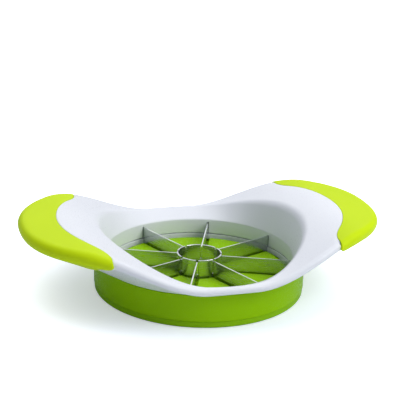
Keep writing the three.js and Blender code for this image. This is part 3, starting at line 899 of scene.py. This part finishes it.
def moulded(name, pale, deep, roughness, grain, relief, gloss):
    """Moulded plastic or rubber: slow colour drift, a fine mould grain and uneven gloss.

    The real grain is about 0.1 mm wide, too fine to show, so it is drawn some five times coarser.
    """
    material, tree = new_material(name)
    place = add(tree, "ShaderNodeTexCoord").outputs["Object"]
    drift = add(tree, "ShaderNodeTexNoise", {"Vector": place, "Scale": per_mm(COLOUR_DRIFT), "Detail": 2.0})
    texture = add(tree, "ShaderNodeTexNoise", {"Vector": place, "Scale": per_mm(grain), "Detail": 3.0})
    mix = {0: drift.outputs["Fac"], 6: tone(pale), 7: tone(deep)}
    colour = add(tree, "ShaderNodeMix", mix, data_type="RGBA")
    bump = {"Height": texture.outputs["Fac"], "Strength": 0.5, "Distance": relief * MM}
    gloss_range = {"Value": texture.outputs["Fac"], "To Min": roughness - 0.04, "To Max": roughness + 0.05}
    inputs = {
        "Base Color": colour.outputs[2],
        "Roughness": add(tree, "ShaderNodeMapRange", {**NOISE_MIDDLE, **gloss_range}).outputs["Result"],
        "Normal": add(tree, "ShaderNodeBump", bump).outputs["Normal"],
        "IOR": 1.5,
        "Specular IOR Level": gloss,
    }
    shader = add(tree, "ShaderNodeBsdfPrincipled", inputs)
    add(tree, "ShaderNodeOutputMaterial", {"Surface": shader.outputs["BSDF"]})
    return material


def streaked_steel(name, pale, deep, roughness, streak, stretch):
    """Steel with fine streaks from rolling, drawn about half a millimetre wide so that they show.

    The streaks break up its reflections along one direction.
    """
    material, tree = new_material(name)
    place = add(tree, "ShaderNodeTexCoord").outputs["Object"]
    laid = add(tree, "ShaderNodeMapping", {"Vector": place, "Scale": stretch})
    noise = {"Vector": laid.outputs["Vector"], "Scale": per_mm(streak), "Detail": 4.0}
    streaks = add(tree, "ShaderNodeTexNoise", noise).outputs["Fac"]
    colour = add(tree, "ShaderNodeMix", {0: streaks, 6: tone(pale), 7: tone(deep)}, data_type="RGBA")
    bump = {"Height": streaks, "Strength": 0.3, "Distance": STREAK_DEPTH * MM}
    gloss_range = {"Value": streaks, "To Min": roughness - 0.06, "To Max": roughness + 0.1}
    inputs = {
        "Base Color": colour.outputs[2],
        "Metallic": 1.0,
        "Roughness": add(tree, "ShaderNodeMapRange", {**NOISE_MIDDLE, **gloss_range}).outputs["Result"],
        "Normal": add(tree, "ShaderNodeBump", bump).outputs["Normal"],
    }
    shader = add(tree, "ShaderNodeBsdfPrincipled", inputs)
    add(tree, "ShaderNodeOutputMaterial", {"Surface": shader.outputs["BSDF"]})
    return material


# Stage and camera


def make_floor():
    """Pale disc that keeps the object's shade near it and is plain white further off."""
    material, tree = new_material("studio_floor")
    seen = add(tree, "ShaderNodeLightPath").outputs["Is Camera Ray"]
    shades = {0: seen, 6: tone(FLOOR_COLOUR), 7: tone(FLOOR_SEEN_COLOUR)}
    colour = add(tree, "ShaderNodeMix", shades, data_type="RGBA")
    lit = add(tree, "ShaderNodeBsdfDiffuse", {"Color": colour.outputs[2]})
    place = add(tree, "ShaderNodeTexCoord").outputs["Object"]
    distance = add(tree, "ShaderNodeVectorMath", {0: place}, operation="LENGTH").outputs["Value"]
    limits = {"From Min": SHADE_START * MM, "From Max": SHADE_END * MM, "To Min": FLOOR_GLOW}
    eased = {"Value": distance, **limits}
    level = add(tree, "ShaderNodeMapRange", eased, interpolation_type="SMOOTHSTEP").outputs["Result"]
    strength = add(tree, "ShaderNodeMath", {0: seen, 1: level}, operation="MULTIPLY")
    glow = add(tree, "ShaderNodeEmission", {"Color": (1, 1, 1, 1), "Strength": strength.outputs[0]})
    mixed = add(tree, "ShaderNodeAddShader", {0: lit.outputs[0], 1: glow.outputs[0]})
    add(tree, "ShaderNodeOutputMaterial", {"Surface": mixed.outputs[0]})
    bm = bmesh.new()
    bmesh.ops.create_circle(bm, cap_ends=True, segments=64, radius=FLOOR_RADIUS / MM)
    bmesh.ops.translate(bm, vec=(0, 0, -SEAM_GAP), verts=bm.verts)
    floor = new_object("floor", bm)
    floor.data.materials.append(material)


def make_world():
    """Soft fill for everything but the camera, which sees white."""
    world = bpy.data.worlds.new("studio")
    bpy.context.scene.world = world
    world.use_nodes = True
    tree = world.node_tree
    tree.nodes.clear()
    seen = add(tree, "ShaderNodeLightPath").outputs["Is Camera Ray"]
    fill = add(tree, "ShaderNodeBackground", {"Color": tone(WORLD_COLOUR), "Strength": WORLD_FILL})
    white = add(tree, "ShaderNodeBackground", {"Color": (1, 1, 1, 1), "Strength": 1.0})
    mixed = add(tree, "ShaderNodeMixShader", {0: seen, 1: fill.outputs[0], 2: white.outputs[0]})
    add(tree, "ShaderNodeOutputWorld", {"Surface": mixed.outputs[0]})


def make_lamps():
    """Large soft lamps, all turned to the object."""
    for name, place, size, power, colour in LAMPS:
        data = bpy.data.lights.new(name, "AREA")
        data.shape = "RECTANGLE"
        data.size, data.size_y = size
        data.energy = power
        data.color = tone(colour)[:3]
        lamp = bpy.data.objects.new(name, data)
        lamp.location = place
        lamp.rotation_mode = "QUATERNION"
        lamp.rotation_quaternion = (Vector(LAMP_AIM) - Vector(place)).to_track_quat("-Z", "Y")
        bpy.context.scene.collection.objects.link(lamp)


def make_camera():
    """Long lens at the place that the object's outlines give."""
    data = bpy.data.cameras.new("camera")
    data.sensor_width = SENSOR_WIDTH
    data.lens = CAMERA_FOCUS * data.sensor_width
    camera = bpy.data.objects.new("camera", data)
    bpy.context.scene.collection.objects.link(camera)
    level = math.cos(CAMERA_ELEVATION)
    rise = math.sin(CAMERA_ELEVATION)
    back = Vector((math.sin(CAMERA_AZIMUTH) * level, -math.cos(CAMERA_AZIMUTH) * level, rise))
    right = Vector((math.cos(CAMERA_AZIMUTH), math.sin(CAMERA_AZIMUTH), 0))
    up = back.cross(right)
    camera.location = back * CAMERA_DISTANCE
    aim = right * CAMERA_AIM[0] + up * CAMERA_AIM[1]
    camera.rotation_mode = "QUATERNION"
    turn = (aim - camera.location).to_track_quat("-Z", "Y")
    camera.rotation_quaternion = turn @ Quaternion((0, 0, 1), CAMERA_ROLL)
    bpy.context.scene.camera = camera


make_camera()
make_lamps()
make_world()
make_floor()

# The cool white of the saddle: satin gloss that rolls softly over the edges, its mould grain barely seen
white_abs = moulded(
    "moulded_white_ABS", "#ebeef5", "#e5e8f1", roughness=0.3, grain=0.5, relief=0.02, gloss=0.4
)
# The bright lime of the grips: a dry, even sheen on a fine skin, duller than the white beside it
lime_rubber = moulded(
    "lime_soft_TPE", "#cde80e", "#c6e20a", roughness=0.5, grain=0.45, relief=0.04, gloss=0.1
)
# The deeper, cleaner green of the base: smooth, with faint reflections that keep some shape
green_abs = moulded(
    "moulded_green_ABS", "#96c902", "#8fc301", roughness=0.25, grain=0.7, relief=0.012, gloss=0.07
)
# The foot's darker, duller green, which shows it as a separate soft ring
green_rubber = moulded(
    "green_foot_TPE", "#8ec206", "#86bb05", roughness=0.45, grain=0.5, relief=0.03, gloss=0.1
)
# Bright blades and corer: fine streaks along the strip break up what they mirror
blade_steel = streaked_steel(
    "rolled_stainless_strip", "#d4d7da", "#bfc3c8", roughness=0.2, streak=0.5, stretch=(0.05, 0.05, 1)
)
# Duller, greyer screws under the wings, with a mottled plated look
screw_steel = streaked_steel(
    "zinc_plated_screw", "#b9bcc2", "#a6a9b0", roughness=0.35, streak=0.6, stretch=(1, 1, 1)
)

make_shells(white_abs)
make_grip("grip_right", "right_grip", 1, lime_rubber)
make_grip("grip_left", "left_grip", -1, lime_rubber)
make_retainer(white_abs)
make_corer(blade_steel)
make_screws(screw_steel)
make_base(green_abs, green_rubber)
for name in BLADES:
    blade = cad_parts[name]
    blade.data.materials.clear()
    blade.data.materials.append(blade_steel)

bpy.context.scene.view_settings.view_transform = "Standard"
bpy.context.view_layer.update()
